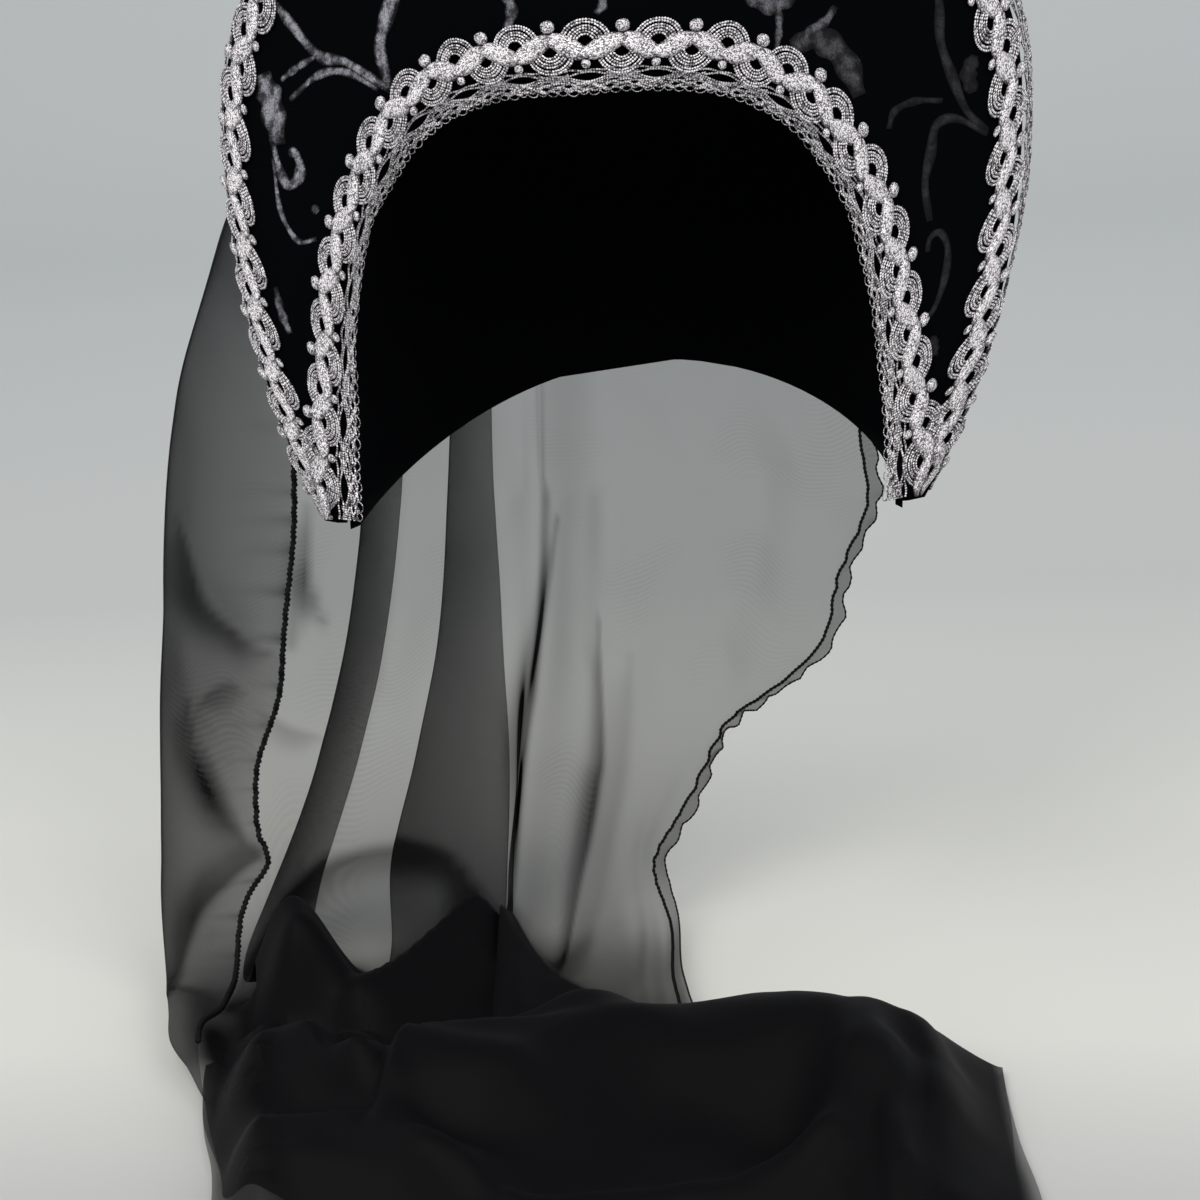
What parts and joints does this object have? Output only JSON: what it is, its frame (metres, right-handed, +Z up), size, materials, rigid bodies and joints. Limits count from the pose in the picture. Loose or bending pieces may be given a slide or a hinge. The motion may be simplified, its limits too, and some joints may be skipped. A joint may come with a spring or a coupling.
{
  "type": "french hood",
  "caption": "Historic french hood with a black velvet crescent, metallic gimp braid edges, a soft cap and a long sheer black veil lying in a heap.",
  "frame": {"origin": "middle of the hollow for the head, half way between the crescent's tips and the top of the face opening", "axes": "+Z up as worn, the face opening looks along -Y, +X to the right of someone facing the hood"},
  "size_m": [0.3034, 0.2923, 0.3903],
  "materials": {
    "velvet_black": "deep pile velvet with satin scrolls",
    "gimp_silver": "metallic gimp thread",
    "gimp_dark_silver": "dull metallic gimp thread",
    "organza_black": "sheer with a soft sheen"
  },
  "bodies": {
    "root": {"crescent": "velvet_black", "crown_cap": "velvet_black", "inner_front_braid": "gimp_silver", "outer_front_braid": "gimp_silver", "inner_edge_braid": "gimp_dark_silver", "outer_edge_braid": "gimp_dark_silver", "veil": "organza_black"}
  },
  "joints": []
}
